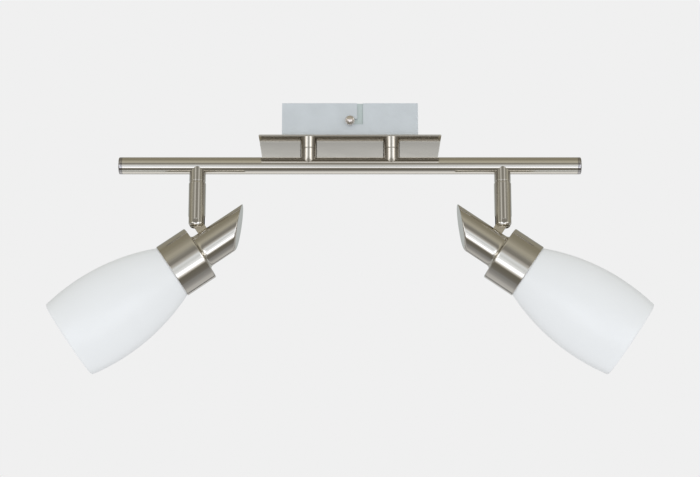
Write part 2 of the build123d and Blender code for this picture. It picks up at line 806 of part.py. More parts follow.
os.makedirs("parts", exist_ok=True)
for name, shape in nodes.items():
    export_step(shape, "parts/" + name + ".step")
print("tilt axis at Z", round(pivot_z, 3), "bar axis at Z", round(bar_z, 3))
print("tilt axis direction", [round(value, 5) for value in tilt_axis])
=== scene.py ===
import json
import math
from collections import namedtuple

import bmesh
import bpy
import numpy as np
from bpy.props import FloatProperty, FloatVectorProperty, IntProperty, PointerProperty
from bpy.types import Operator, Panel, PropertyGroup
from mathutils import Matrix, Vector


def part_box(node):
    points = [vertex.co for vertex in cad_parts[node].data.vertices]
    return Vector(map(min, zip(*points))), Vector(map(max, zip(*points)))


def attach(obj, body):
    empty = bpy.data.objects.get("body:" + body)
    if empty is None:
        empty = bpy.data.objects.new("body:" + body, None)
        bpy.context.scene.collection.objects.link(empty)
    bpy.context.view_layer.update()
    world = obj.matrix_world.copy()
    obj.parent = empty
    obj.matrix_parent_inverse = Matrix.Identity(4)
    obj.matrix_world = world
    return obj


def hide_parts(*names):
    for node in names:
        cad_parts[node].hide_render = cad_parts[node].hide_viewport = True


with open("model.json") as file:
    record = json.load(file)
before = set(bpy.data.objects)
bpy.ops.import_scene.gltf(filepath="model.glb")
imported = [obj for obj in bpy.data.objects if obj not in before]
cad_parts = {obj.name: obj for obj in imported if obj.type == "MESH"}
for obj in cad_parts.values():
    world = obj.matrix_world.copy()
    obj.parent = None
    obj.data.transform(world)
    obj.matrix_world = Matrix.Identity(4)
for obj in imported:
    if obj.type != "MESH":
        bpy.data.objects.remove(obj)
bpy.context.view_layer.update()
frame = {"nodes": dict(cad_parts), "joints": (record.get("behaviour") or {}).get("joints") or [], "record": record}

bl_info = {
    "name": "Two-spot bar light",
    "version": (1, 0, 0),
    "blender": (4, 5, 0),
    "location": "View3D > Sidebar > Bar Light",
    "description": "Dresses a two-spot ceiling bar light in nickel, zinc and opal glass",
    "category": "Object",
}

MM = 0.001
SIDES = ("left", "right")
MOUNTS = {mount["name"]: mount for mount in frame["record"]["mounts"]}
JOINTS = {joint["name"]: joint for joint in frame["joints"]}

# A line to turn or lay a section on: a point, the way it runs, and two ways out from it
Line = namedtuple("Line", "origin along up across")

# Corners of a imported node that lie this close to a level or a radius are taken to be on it
TOUCH = 0.05 * MM


# Sizes read from the frame

def node_points(node):
    """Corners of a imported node's mesh as rows of x, y, z in metres."""
    mesh = frame["nodes"][node].data
    flat = np.empty(len(mesh.vertices) * 3)
    mesh.vertices.foreach_get("co", flat)
    return flat.reshape(-1, 3)


def box_size(node):
    """Lowest corner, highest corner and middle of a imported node."""
    low, high = (np.array(corner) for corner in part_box(node))
    return low, high, (low + high) / 2


def head_line(side):
    """The axis of a head, from its lamp socket to the glass, with up pointing at the tilt pivot."""
    socket = MOUNTS[f"{side}_lamp_socket"]
    along = np.array(socket["axis"])
    along /= np.linalg.norm(along)
    origin = np.array(socket["pos_m"])
    up = np.array(JOINTS[f"{side}_tilt"]["pos_m"]) - origin
    up -= along * (up @ along)
    up /= np.linalg.norm(up)
    return Line(origin, along, up, np.cross(along, up))


def bar_line():
    """The axis of the bar, from left to right."""
    middle = box_size("bar_tube")[2]
    return Line(middle, np.array([1.0, 0, 0]), np.array([0, 0, 1.0]), np.array([0, -1.0, 0]))


def along_and_out(node, line):
    """Each corner's place along a line, its distance from the line, and its height on the up side."""
    offset = node_points(node) - line.origin
    place = offset @ line.along
    spread = offset - place[:, None] * line.along
    return place, np.linalg.norm(spread, axis=1), offset @ line.up


def near(values, target, within=TOUCH):
    """Which of the values lie close to a target."""
    return np.abs(values - target) < within


# Sections and surfaces

# The point on each side of an eased corner lies this many easings away from it
LEAD = 1.5
# Points closer than this are joined, and edges that turn by more than this angle are sharp
WELD = 1e-7
CREASE = math.radians(40.0)


def bend(start, corner, end, s):
    """Curve from start to end, for s from 0 to 1, that bends at a corner:
    (1-s)^2 start + 2s(1-s) corner + s^2 end."""
    return (1 - s) ** 2 * start + 2 * s * (1 - s) * corner + s ** 2 * end


def eased(corners, easing, steps=6):
    """Section whose corners are eased. Each corner becomes a bend that starts and ends the easing away on
    its two sides, with one more point half as far again on each side to keep the flats flat."""
    corners = np.asarray(corners, float)
    easing = np.broadcast_to(np.asarray(easing, float), len(corners))[:, None]
    before = np.roll(corners, 1, axis=0) - corners
    after = np.roll(corners, -1, axis=0) - corners
    before /= np.linalg.norm(before, axis=1, keepdims=True)
    after /= np.linalg.norm(after, axis=1, keepdims=True)
    s = np.linspace(0, 1, steps)[None, :, None]
    start = (corners + before * easing)[:, None]
    end = (corners + after * easing)[:, None]
    curve = bend(start, corners[:, None], end, s)
    lead_in = (corners + LEAD * before * easing)[:, None]
    lead_out = (corners + LEAD * after * easing)[:, None]
    return np.concatenate([lead_in, curve, lead_out], axis=1).reshape(-1, 2)


def round_angles(columns):
    """Even angles over one full turn, one to a column."""
    return np.linspace(0, 2 * np.pi, columns, endpoint=False)


def carried_round(place, out, line, columns):
    """Points at rows of places along a line and distances out from it, for each angle t round the line:
    origin + place along + out (cos t up + sin t across)."""
    t = round_angles(columns)
    ring = np.cos(t)[:, None] * line.up + np.sin(t)[:, None] * line.across
    return line.origin + place[:, :, None] * line.along + out[:, :, None] * ring


def turned(section, line, columns):
    """Section of (place, distance) pairs carried round a line."""
    return carried_round(section[:, :1], section[:, 1:], line, columns)


def run_lengths(grid, axis):
    """Running length over a grid of points along one of its two directions, from 0."""
    steps = np.linalg.norm(np.diff(grid, axis=axis), axis=-1)
    total = np.cumsum(steps, axis=axis)
    return np.concatenate([np.zeros_like(np.take(total, [0], axis)), total], axis=axis)


def put_surface(name, grid, section_closed=True):
    """Object of quads over a grid of points whose columns meet round the back. Faces are turned outwards,
    and the UV map gives lengths in metres: u round the piece, v along its section."""
    rows, columns = grid.shape[:2]
    wide = np.concatenate([grid, grid[:, :1]], axis=1)
    if section_closed:
        wide = np.concatenate([wide, wide[:1]], axis=0)
    u = run_lengths(wide, 1).max(axis=0) * np.ones(wide.shape[:2])
    v = run_lengths(wide, 0).max(axis=1)[:, None] * np.ones(wide.shape[:2])
    row, column = np.meshgrid(np.arange(len(wide) - 1), np.arange(columns), indexing="ij")
    row_at = np.stack([row, row, row + 1, row + 1], axis=-1).reshape(-1, 4)
    column_at = np.stack([column, column + 1, column + 1, column], axis=-1).reshape(-1, 4)
    faces = (row_at % rows) * columns + column_at % columns
    points = grid.reshape(-1, 3)
    a, b, c, d = (points[faces[:, corner]] for corner in range(4))
    volume = np.einsum("ij,ij->i", a, np.cross(b, c) + np.cross(c, d)).sum()
    if volume < 0:
        faces, row_at, column_at = faces[:, ::-1], row_at[:, ::-1], column_at[:, ::-1]
    mesh = bpy.data.meshes.new(name)
    mesh.from_pydata(points, [], faces)
    uv = np.stack([u[row_at, column_at], v[row_at, column_at]], axis=-1)
    mesh.uv_layers.new(name="surface").data.foreach_set("uv", uv.ravel())
    shell = bmesh.new()
    shell.from_mesh(mesh)
    bmesh.ops.remove_doubles(shell, verts=shell.verts, dist=WELD)
    shell.to_mesh(mesh)
    shell.free()
    mesh.shade_smooth()
    mesh.set_sharp_from_angle(angle=CREASE)
    piece = bpy.data.objects.new(name, mesh)
    bpy.context.scene.collection.objects.link(piece)
    return piece


def stand_for(piece, node, body, material):
    """The piece takes a node's place, moves with its body and gets its finish."""
    piece.data.materials.append(material)
    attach(piece, body)
    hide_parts(node)


def finish_nodes(material, *nodes):
    """Gives carried-over nodes their finish."""
    for node in nodes:
        for slot in frame["nodes"][node].material_slots:
            slot.material = material


def sided(*names):
    """Node names of both sides."""
    return [f"{side}_{name}" for side in SIDES for name in names]


# Finishes

# The part of a pattern's range over which colour and roughness change
LOW = 0.3
HIGH = 0.7
BUMP_STRENGTH = 0.5
# Shares of red, green and blue that give the lugs' nickel an olive cast, a painted reflection of the warm
# surround, and that turn brass into its tarnish
LUG_REFLECTION_TINT = (0.95, 0.9, 0.78)
TARNISHED = (0.78, 0.70, 0.62)


def new_finish(name, metallic=0.0):
    """A new material, with its node tree and its shader."""
    material = bpy.data.materials.new(name)
    material.use_nodes = True
    tree = material.node_tree
    shader = tree.nodes["Principled BSDF"]
    shader.inputs["Metallic"].default_value = metallic
    return material, tree, shader


def pattern(tree, scale, detail, source="Object", stretch=(1, 1, 1), rough=0.55):
    """Noise read from Object or UV coordinates, stretched by a Mapping node."""
    coords = tree.nodes.new("ShaderNodeTexCoord")
    mapping = tree.nodes.new("ShaderNodeMapping")
    mapping.inputs["Scale"].default_value = stretch
    noise = tree.nodes.new("ShaderNodeTexNoise")
    noise.inputs["Scale"].default_value = scale
    noise.inputs["Detail"].default_value = detail
    noise.inputs["Roughness"].default_value = rough
    tree.links.new(coords.outputs[source], mapping.inputs["Vector"])
    tree.links.new(mapping.outputs["Vector"], noise.inputs["Vector"])
    return noise.outputs["Fac"]


def set_colour(tree, shader, fac, first, second, low=LOW, high=HIGH):
    """The shader's colour goes from the first to the second with a pattern."""
    ramp = tree.nodes.new("ShaderNodeValToRGB")
    ramp.color_ramp.elements[0].position = low
    ramp.color_ramp.elements[1].position = high
    ramp.color_ramp.elements[0].color = (*first, 1)
    ramp.color_ramp.elements[1].color = (*second, 1)
    tree.links.new(fac, ramp.inputs["Fac"])
    tree.links.new(ramp.outputs["Color"], shader.inputs["Base Color"])


def set_roughness(tree, shader, fac, least, most):
    """The shader's roughness goes from least to most with a pattern."""
    span = tree.nodes.new("ShaderNodeMapRange")
    span.inputs["From Min"].default_value = LOW
    span.inputs["From Max"].default_value = HIGH
    span.inputs["To Min"].default_value = least
    span.inputs["To Max"].default_value = most
    tree.links.new(fac, span.inputs["Value"])
    tree.links.new(span.outputs["Result"], shader.inputs["Roughness"])


def set_relief(tree, shader, height, depth):
    """The surface rises and falls with a pattern, over a depth in metres."""
    bump = tree.nodes.new("ShaderNodeBump")
    bump.inputs["Strength"].default_value = BUMP_STRENGTH
    bump.inputs["Distance"].default_value = depth
    tree.links.new(height, bump.inputs["Height"])
    tree.links.new(bump.outputs["Normal"], shader.inputs["Normal"])


def dimmed(colour, share):
    """A colour made darker by a share."""
    return tuple(channel * (1 - share) for channel in colour)


def scaled(colour, shares):
    """A colour with each channel taken by its own share."""
    return tuple(channel * share for channel, share in zip(colour, shares))


def satin_nickel(name, source="UV", stretch=(6000, 60, 1)):
    """Nickel plating with fine brush lines along the length and a soft change of gloss."""
    finish = bpy.context.scene.bar_light_finish
    material, tree, shader = new_finish(name, metallic=1.0)
    lines = pattern(tree, scale=1.0, detail=4.0, source=source, stretch=stretch)
    clouds = pattern(tree, scale=45.0, detail=2.0)
    colour = tuple(finish.nickel_colour)
    gloss = finish.nickel_roughness
    set_colour(tree, shader, lines, dimmed(colour, share=0.05), colour)
    set_roughness(tree, shader, clouds, least=gloss * 0.85, most=gloss * 1.15)
    set_relief(tree, shader, lines, depth=6e-7)
    return material


def blasted_nickel(name):
    """Nickel over a blasted casting, with a fine even grain and an olive cast that is a painted reflection."""
    finish = bpy.context.scene.bar_light_finish
    material, tree, shader = new_finish(name, metallic=1.0)
    grain = pattern(tree, scale=2600.0, detail=2.0)
    # Olive tint: painted reflection of the warm surround on the rough lugs
    colour = scaled(finish.nickel_colour, LUG_REFLECTION_TINT)
    set_colour(tree, shader, grain, dimmed(colour, share=0.1), colour)
    set_roughness(tree, shader, grain, least=0.3, most=0.4)
    set_relief(tree, shader, grain, depth=4e-6)
    return material


def polished_nickel(name, colour, least, most):
    """Turned nickel with faint wiping marks, whose roughness goes from least to most."""
    material, tree, shader = new_finish(name, metallic=1.0)
    marks = pattern(tree, scale=260.0, detail=4.0)
    set_colour(tree, shader, marks, dimmed(colour, share=0.04), colour)
    set_roughness(tree, shader, marks, least, most)
    return material


def zinc_sheet(name, colour):
    """Dull zinc-plated sheet with cloudy patches and a fine rolled grain."""
    material, tree, shader = new_finish(name, metallic=0.35)
    patches = pattern(tree, scale=70.0, detail=3.0)
    grain = pattern(tree, scale=1.0, detail=2.0, stretch=(80, 2600, 2600))
    set_colour(tree, shader, patches, dimmed(colour, share=0.06), colour)
    set_roughness(tree, shader, grain, least=0.42, most=0.52)
    set_relief(tree, shader, grain, depth=1.5e-6)
    return material


def plated_steel(name):
    """Bright zinc plating on screws and nuts, with a grainy skin."""
    finish = bpy.context.scene.bar_light_finish
    material, tree, shader = new_finish(name, metallic=1.0)
    grain = pattern(tree, scale=900.0, detail=3.0)
    colour = tuple(finish.screw_colour)
    set_colour(tree, shader, grain, dimmed(colour, share=0.12), colour)
    set_roughness(tree, shader, grain, least=0.22, most=0.34)
    set_relief(tree, shader, grain, depth=3e-6)
    return material


def bare_brass(name):
    """Bare brass, a little tarnished in patches."""
    finish = bpy.context.scene.bar_light_finish
    material, tree, shader = new_finish(name, metallic=1.0)
    tarnish = pattern(tree, scale=320.0, detail=4.0)
    colour = tuple(finish.brass_colour)
    set_colour(tree, shader, tarnish, colour, scaled(colour, TARNISHED), low=0.45, high=0.8)
    set_roughness(tree, shader, tarnish, least=0.18, most=0.4)
    return material


def opal_glass(name):
    """White opal glass with a satin etched face and faint cloudiness."""
    finish = bpy.context.scene.bar_light_finish
    material, tree, shader = new_finish(name)
    clouds = pattern(tree, scale=38.0, detail=3.0)
    etch = pattern(tree, scale=2400.0, detail=2.0)
    colour = tuple(finish.glass_colour)
    set_colour(tree, shader, clouds, dimmed(colour, share=0.012), colour)
    set_roughness(tree, shader, etch, least=0.34, most=0.42)
    set_relief(tree, shader, etch, depth=1.5e-6)
    shader.inputs["IOR"].default_value = 1.5
    return material


def bare_ceramic(name):
    """Unglazed white ceramic with small specks."""
    finish = bpy.context.scene.bar_light_finish
    material, tree, shader = new_finish(name)
    specks = pattern(tree, scale=1400.0, detail=5.0, rough=0.7)
    colour = tuple(finish.ceramic_colour)
    set_colour(tree, shader, specks, dimmed(colour, share=0.1), colour, low=0.25, high=0.45)
    set_roughness(tree, shader, specks, least=0.5, most=0.62)
    set_relief(tree, shader, specks, depth=1.2e-5)
    return material


def moulded_plastic(name, colour):
    """Pale moulded plastic with a fine spark-eroded texture."""
    material, tree, shader = new_finish(name)
    texture = pattern(tree, scale=2200.0, detail=2.0)
    set_colour(tree, shader, texture, dimmed(colour, share=0.05), colour)
    set_roughness(tree, shader, texture, least=0.38, most=0.5)
    set_relief(tree, shader, texture, depth=1e-5)
    return material


def silicone_sheath(name):
    """Matt silicone of the leads, a little dusty."""
    finish = bpy.context.scene.bar_light_finish
    material, tree, shader = new_finish(name)
    dust = pattern(tree, scale=600.0, detail=4.0)
    colour = tuple(finish.lead_colour)
    set_colour(tree, shader, dust, dimmed(colour, share=0.1), colour)
    set_roughness(tree, shader, dust, least=0.5, most=0.66)
    set_relief(tree, shader, dust, depth=1e-5)
    return material


# What a user would change

def colour_property(name, description, default):
    """A colour without transparency."""
    return FloatVectorProperty(
        name=name, description=description, default=default, size=3, min=0, max=1, subtype="COLOR")


class BarLightFinish(PropertyGroup):
    """Colours and gloss of the pieces."""

    nickel_colour: colour_property("Nickel", "Colour of the satin nickel", (0.64, 0.61, 0.555))
    nickel_roughness: FloatProperty(
        name="Nickel roughness", description="How much the satin nickel blurs what it mirrors",
        default=0.10, min=0.02, max=0.8, subtype="FACTOR")
    # The caps' nickel is darker than the rest: painted shade standing in for the dark surround their polished
    # faces mirror
    cap_painted_shade_colour: colour_property("End caps", "Colour of the polished end caps", (0.41, 0.395, 0.395))
    # The balls' nickel is lighter and pinker than the rest: painted sheen standing in for the bright spots they
    # mirror
    ball_colour_and_sheen: colour_property("Ball screws", "Colour of the ball heads", (0.8, 0.74, 0.69))
    zinc_colour: colour_property("Zinc", "Colour of the canopy's plated sheet", (0.718, 0.763, 0.803))
    # The bracket's zinc is darker than the canopy's: painted shade for the recess it forms behind the canopy's
    # slot
    bracket_shade_colour: colour_property("Bracket", "Colour of the bracket's plated sheet", (0.62, 0.70, 0.695))
    screw_colour: colour_property("Screws", "Colour of the plated screws", (0.66, 0.67, 0.67))
    brass_colour: colour_property("Brass", "Colour of the bare brass", (0.74, 0.56, 0.27))
    glass_colour: colour_property("Opal glass", "Colour of the shades", (0.895, 0.905, 0.92))
    ceramic_colour: colour_property("Ceramic", "Colour of the lampholders", (0.86, 0.85, 0.81))
    ring_colour: colour_property("Shade rings", "Colour of the glass's clamp rings", (0.86, 0.86, 0.83))
    block_colour: colour_property("Terminal block", "Colour of the terminal block", (0.80, 0.80, 0.76))
    lead_colour: colour_property("Leads", "Colour of the silicone sheaths", (0.78, 0.78, 0.75))


class BarLightForm(PropertyGroup):
    """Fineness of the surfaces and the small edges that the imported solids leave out."""

    columns: IntProperty(
        name="Columns", description="Faces round each turned piece", default=128, min=24, max=256)
    edge_easing: FloatProperty(
        name="Edge easing", description="How far edges are eased",
        default=0.35 * MM, min=0.05 * MM, max=2 * MM, unit="LENGTH")
    mitre_rounding: FloatProperty(
        name="Mitre rounding", description="How far the rims of the rear plates are rounded",
        default=1.4 * MM, min=0.1 * MM, max=4 * MM, unit="LENGTH")
    thread_pitch: FloatProperty(
        name="Thread pitch", description="Rise of the lamp thread in one turn",
        default=2.82 * MM, min=1 * MM, max=6 * MM, unit="LENGTH")


class BarLightStage(PropertyGroup):
    """Camera, floor and light."""

    camera_pitch: FloatProperty(
        name="Camera pitch", description="How far the camera looks up",
        default=math.radians(13.5), subtype="ANGLE")
    camera_distance: FloatProperty(
        name="Camera distance", description="From the camera to the point it looks at",
        default=1.5908, unit="LENGTH")
    aim_height: FloatProperty(
        name="Aim height", description="Level that the camera looks at, below the ceiling",
        default=-0.1051, unit="LENGTH")
    lens: FloatProperty(name="Lens", description="Focal length in millimetres", default=100.5)
    floor_drop: FloatProperty(
        name="Floor drop", description="From the ceiling plane down to the floor",
        default=2.2, unit="LENGTH")
    backdrop: FloatProperty(
        name="Backdrop", description="Brightness of the plain backdrop", default=0.871, min=0, max=2)


# The shades

# Rows of points along each face of a shade's wall, and round its rim
WALL_ROWS = 72
RIM_ROWS = 14


def glass_section(side, line):
    """Closed section of a shade. The wall follows r = c + sqrt(R^2 - (a - b)^2), widest at the belly b,
    outside with the arc R and inside with R less the wall; the rim is half a circle, and the top is
    a flat holed floor with a rounded shoulder."""
    place, out, _ = along_and_out(f"{side}_glass_shade", line)
    top, mouth = place.min(), place.max()
    front = along_and_out(f"{side}_head_housing", line)[0].max()
    hole, belly_out = out.min(), out.max()
    belly = place[near(out, belly_out, within=0.02 * MM)].mean()
    inside_collar = place < front - 2 * MM
    neck = out[inside_collar].max()
    neck_end = place[near(out, neck, within=0.03 * MM)].max()
    wall = belly_out - out[near(place, belly, within=1 * MM)].min()
    rise = belly_out - neck
    arc = ((belly - neck_end) ** 2 + rise ** 2) / (2 * rise)
    centre = belly_out - arc
    floor = place[near(out, hole)].max()
    lip = mouth - wall / 2

    def wall_out(at, depth):
        return centre + np.sqrt((arc - depth) ** 2 - (at - belly) ** 2)

    at = np.linspace(neck_end, lip, WALL_ROWS)
    outside = np.stack([at, wall_out(at, 0)], axis=-1)
    half = np.linspace(np.pi / 2, -np.pi / 2, RIM_ROWS)[1:-1]
    rim_middle = (wall_out(lip, 0) + wall_out(lip, wall)) / 2
    rim = np.stack([lip + np.cos(half) * wall / 2, rim_middle + np.sin(half) * wall / 2], axis=-1)
    inner_end = belly - math.sqrt((arc - wall) ** 2 - (neck - wall - centre) ** 2)
    at = np.linspace(lip, inner_end, WALL_ROWS)
    inside = np.stack([at, wall_out(at, wall)], axis=-1)
    ease = wall / 3
    corners = [(inner_end, neck - wall), (floor, neck - wall), (floor, hole), (top, hole), (top, neck),
               (neck_end, neck)]
    cap = eased(corners, [ease / 4, ease, ease / 2, ease / 2, 2 * ease, ease / 8])
    return np.concatenate([outside, rim, inside[:-1], cap])


class BARLIGHT_OT_shades(Operator):
    """Opal glass shades with a fire-polished rim"""

    bl_idname = "barlight.shades"
    bl_label = "Opal shades"

    def execute(self, context):
        glass = opal_glass("opal_glass")
        columns = context.scene.bar_light_form.columns
        for side in SIDES:
            line = head_line(side)
            shade = put_surface(f"{side}_opal_shade", turned(glass_section(side, line), line, columns))
            stand_for(shade, f"{side}_glass_shade", f"{side}_head", glass)
        return {"FINISHED"}


# The housings

RearEnd = namedtuple("RearEnd", "radius bore middle slope")

# Corners beyond these shares of the collar's radius are on the collar, and on its straight part
COLLAR_SHARE = 0.8
STRAIGHT_SHARE = 0.9999
# This far behind the collar the rear tube is plain. Its tips lie beyond this share of its radius, up and down
PLAIN_START = 8 * MM
TIP_SHARE = 0.98
# Rows of points over the flat and the rounded rim of a rear plate, and the share of the radius where the
# plate's inner face has its one row
FLAT_ROWS = 5
ROUNDED_ROWS = 12
BACK_SHARE = 0.6


def collar_back(place, out):
    """Where a housing's collar ends at the back."""
    return place[out > COLLAR_SHARE * out.max()].min()


def rear_end(side, line):
    """Sizes of a housing's mitred rear tube: radius, bore, place of the middle of the cut, and the cut's
    slope, which is how far it runs along the axis for each unit of height on the up side."""
    place, out, up = along_and_out(f"{side}_head_housing", line)
    rear = place < collar_back(place, out) - PLAIN_START
    radius, bore = out[rear].max(), out[rear].min()
    long_end = place[rear & (up > TIP_SHARE * radius)].min()
    short_end = place[rear & (up < -TIP_SHARE * radius)].min()
    return RearEnd(radius, bore, (long_end + short_end) / 2, (long_end - short_end) / (2 * radius))


def lid_depth(t, rounding):
    """How far the rounded rim of a rear plate reaches along the tube: rounding (1 - cos(t) / 2), so that
    the pointed side keeps its point."""
    return rounding * (1 - np.cos(t) / 2)


def housing_grid(side, line, columns, ease, rounding):
    """Turned shell of collar and rear tube, rounded where the collar steps down to the tube. The rear end
    is mitred: its rows move along the axis by slope times the height on the up side, and stop short by
    the rim of the plate that closes them."""
    place, out, _ = along_and_out(f"{side}_head_housing", line)
    end = rear_end(side, line)
    collar, front, back = out.max(), place.max(), collar_back(place, out)
    shoulder = place[out > STRAIGHT_SHARE * collar].min() - back
    bore = out[place > front - TOUCH].min()
    floor = place[near(out, bore)].min()
    hollow = back - place[near(out, end.radius, within=0.01 * MM)].max()
    corners = [(front, collar), (back, collar), (back, end.radius), (end.middle, end.radius),
               (end.middle, end.bore), (floor, end.bore), (floor, bore), (front, bore)]
    easing = [ease, shoulder, hollow, ease / 20, ease / 20, ease, ease, ease / 2]
    section = eased(corners, easing, steps=9)
    mitred = np.repeat([0, 0, 0, 1, 1, 0, 0, 0], len(section) // len(corners))[:, None]
    t = round_angles(columns)
    shift = mitred * (end.slope * section[:, 1:] * np.cos(t) + lid_depth(t, rounding))
    return turned(section, line, columns) + shift[:, :, None] * line.along


def lid_grid(side, line, columns, rounding):
    """Plate that closes a mitred rear end. Its face lies on the cut, and over the last stretch q = 0 to 1
    before the tube's radius it falls off by depth (1 - sqrt(1 - q^2)), which meets the tube smoothly."""
    end = rear_end(side, line)
    t = round_angles(columns)
    q = np.sin(np.linspace(0, np.pi / 2, ROUNDED_ROWS))
    inner = end.radius - rounding
    flat = np.linspace(0, 1, FLAT_ROWS, endpoint=False) * inner
    out = np.concatenate([flat, inner + q * rounding, [BACK_SHARE * end.radius, 0]])[:, None]
    fall = np.concatenate([np.zeros(FLAT_ROWS), 1 - np.sqrt(1 - q ** 2), [1, 1]])[:, None]
    place = end.middle + end.slope * out * np.cos(t) + fall * lid_depth(t, rounding)
    place[-1] = end.middle + rounding
    return carried_round(place, out, line, columns)


class BARLIGHT_OT_housings(Operator):
    """Head housings and the rounded plates that close their mitred ends"""

    bl_idname = "barlight.housings"
    bl_label = "Head housings"

    def execute(self, context):
        form = context.scene.bar_light_form
        nickel = satin_nickel("satin_nickel_heads")
        flat = satin_nickel("satin_nickel_mitre", source="Object", stretch=(700, 3000, 700))
        for side in SIDES:
            line = head_line(side)
            shell = housing_grid(side, line, form.columns, form.edge_easing, form.mitre_rounding)
            housing = put_surface(f"{side}_turned_housing", shell)
            stand_for(housing, f"{side}_head_housing", f"{side}_head", nickel)
            plate = lid_grid(side, line, form.columns, form.mitre_rounding)
            lid = put_surface(f"{side}_rounded_lid", plate, section_closed=False)
            stand_for(lid, f"{side}_mitre_cap", f"{side}_head", flat)
        return {"FINISHED"}


# The bar

# How far an end cap's face is domed, how many easings its rim takes, and the rows over face and rim
CAP_DOME = 0.5 * MM
CAP_RIM = 3
CAP_FACE_ROWS = 14
CAP_RIM_ROWS = 9
# Beyond this share of its radius a cap is full, and this far inside its seat is only the plug
CAP_SHARE = 0.99
PLUG_START = 0.5 * MM


def cap_section(side, line, ease):
    """Open section of an end cap from the middle of its face to the middle of its plug. The face is
    slightly domed, place = end - dome (r / R)^2, and a fine groove marks where the cap meets the bar."""
    place, out, _ = along_and_out(f"{side}_end_cap", line)
    outwards = 1 if side == "right" else -1
    place = place * outwards
    end, plug_end, radius = place.max(), place.min(), out.max()
    seat = place[out > CAP_SHARE * radius].min()
    plug = out[place < seat - PLUG_START].max()
    rim = CAP_RIM * ease
    r = np.linspace(0, radius - rim, CAP_FACE_ROWS)
    face = np.stack([end - CAP_DOME * (r / radius) ** 2, r], axis=-1)
    corner = np.array([end - CAP_DOME, radius])
    edge = bend(face[-1], corner, corner - [rim, 0], np.linspace(0, 1, CAP_RIM_ROWS)[:, None])
    groove = [(seat + LEAD * ease, radius), (seat + ease / 2, radius), (seat + ease / 4, radius - ease / 3),
              (seat, radius - ease)]
    section = np.concatenate([face, edge[1:], groove, [(seat, plug), (plug_end, plug), (plug_end, 0)]])
    section[:, 0] *= outwards
    return section


class BARLIGHT_OT_bar(Operator):
    """Bar tube and its polished end caps"""

    bl_idname = "barlight.bar"
    bl_label = "Bar and end caps"

    def execute(self, context):
        form = context.scene.bar_light_form
        line = bar_line()
        place, out, _ = along_and_out("bar_tube", line)
        low, high, radius, bore = place.min(), place.max(), out.max(), out.min()
        section = eased([(low, radius), (high, radius), (high, bore), (low, bore)], form.edge_easing / 3)
        tube = put_surface("round_bar", turned(section, line, form.columns))
        stand_for(tube, "bar_tube", "base", satin_nickel("satin_nickel_bar"))
        # Darkened nickel for the caps: painted shade for the dark surround they mirror
        colour = tuple(context.scene.bar_light_finish.cap_painted_shade_colour)
        polish = polished_nickel("polished_nickel", colour, least=0.05, most=0.09)
        for side in SIDES:
            grid = turned(cap_section(side, line, form.edge_easing), line, form.columns)
            cap = put_surface(f"{side}_turned_cap", grid, section_closed=False)
            stand_for(cap, f"{side}_end_cap", "base", polish)
        return {"FINISHED"}


# The posts and stubs

# Rows of points over the eased end, and shares of the radius at the rows of the saddle
END_ROWS = 7
SADDLE_SHARES = np.array([1, 0.97, 0.8, 0.6, 0.4, 0.2, 0])


def saddled_grid(node, end_level, columns, ease):
    """Upright turned piece with an eased flat end at one level and a saddle on the bar at the other:
    z = bar axis +- sqrt(B^2 - y^2), with B the radius of the bar."""
    low, high, middle = box_size(node)
    bar = bar_line().origin[2]
    bar_radius = along_and_out("bar_tube", bar_line())[1].max()
    radius = (high[0] - low[0]) / 2
    way = 1 if end_level > bar else -1
    t = round_angles(columns)
    s = np.linspace(0, 1, END_ROWS)
    end_out = np.concatenate([[0, radius - LEAD * ease], bend(radius - ease, radius, radius, s), [radius]])
    end_in = np.concatenate([[0, 0], ease * s ** 2, [LEAD * ease]])
    r = np.concatenate([end_out, radius * SADDLE_SHARES])[:, None]
    x = middle[0] + r * np.cos(t)
    y = middle[1] + r * np.sin(t)
    z = bar + way * np.sqrt(bar_radius ** 2 - (y - middle[1]) ** 2)
    z[:len(end_out)] = (end_level - way * end_in)[:, None]
    return np.stack([x, y, z], axis=-1)


class BARLIGHT_OT_posts(Operator):
    """Posts over the bar and stubs under it, both saddled on its round"""

    bl_idname = "barlight.posts"
    bl_label = "Posts and stubs"

    def execute(self, context):
        form = context.scene.bar_light_form
        nickel = satin_nickel("satin_nickel_posts")
        for side in SIDES:
            post, stub = f"{side}_post", f"{side}_arm_stub"
            post_top, stub_bottom = box_size(post)[1][2], box_size(stub)[0][2]
            for node, level in ((post, post_top), (stub, stub_bottom)):
                grid = saddled_grid(node, level, form.columns, form.edge_easing)
                piece = put_surface(f"{node}_turned", grid, section_closed=False)
                stand_for(piece, node, "base", nickel)
        return {"FINISHED"}


# The arms

class BARLIGHT_OT_arms(Operator):
    """Swivel sleeves, tilt lugs and the screws that carry them"""

    bl_idname = "barlight.arms"
    bl_label = "Swivel arms"

    def execute(self, context):
        nickel = satin_nickel("satin_nickel_arms", source="Object", stretch=(3000, 3000, 30))
        finish_nodes(nickel, *sided("swivel_sleeve", "swivel_washer", "tilt_screws"))
        finish_nodes(blasted_nickel("blasted_nickel"), *sided("tilt_lug"))
        finish_nodes(plated_steel("plated_arm_screws"), *sided("swivel_bolt", "lug_nut"))
        return {"FINISHED"}


# The canopy

# Points round the cover plate, a quarter of them to a corner, the corners' radius, and rows over each edge
PLATE_COLUMNS = 64
PLATE_CORNER = 1.2 * MM
PLATE_EDGE_ROWS = 6


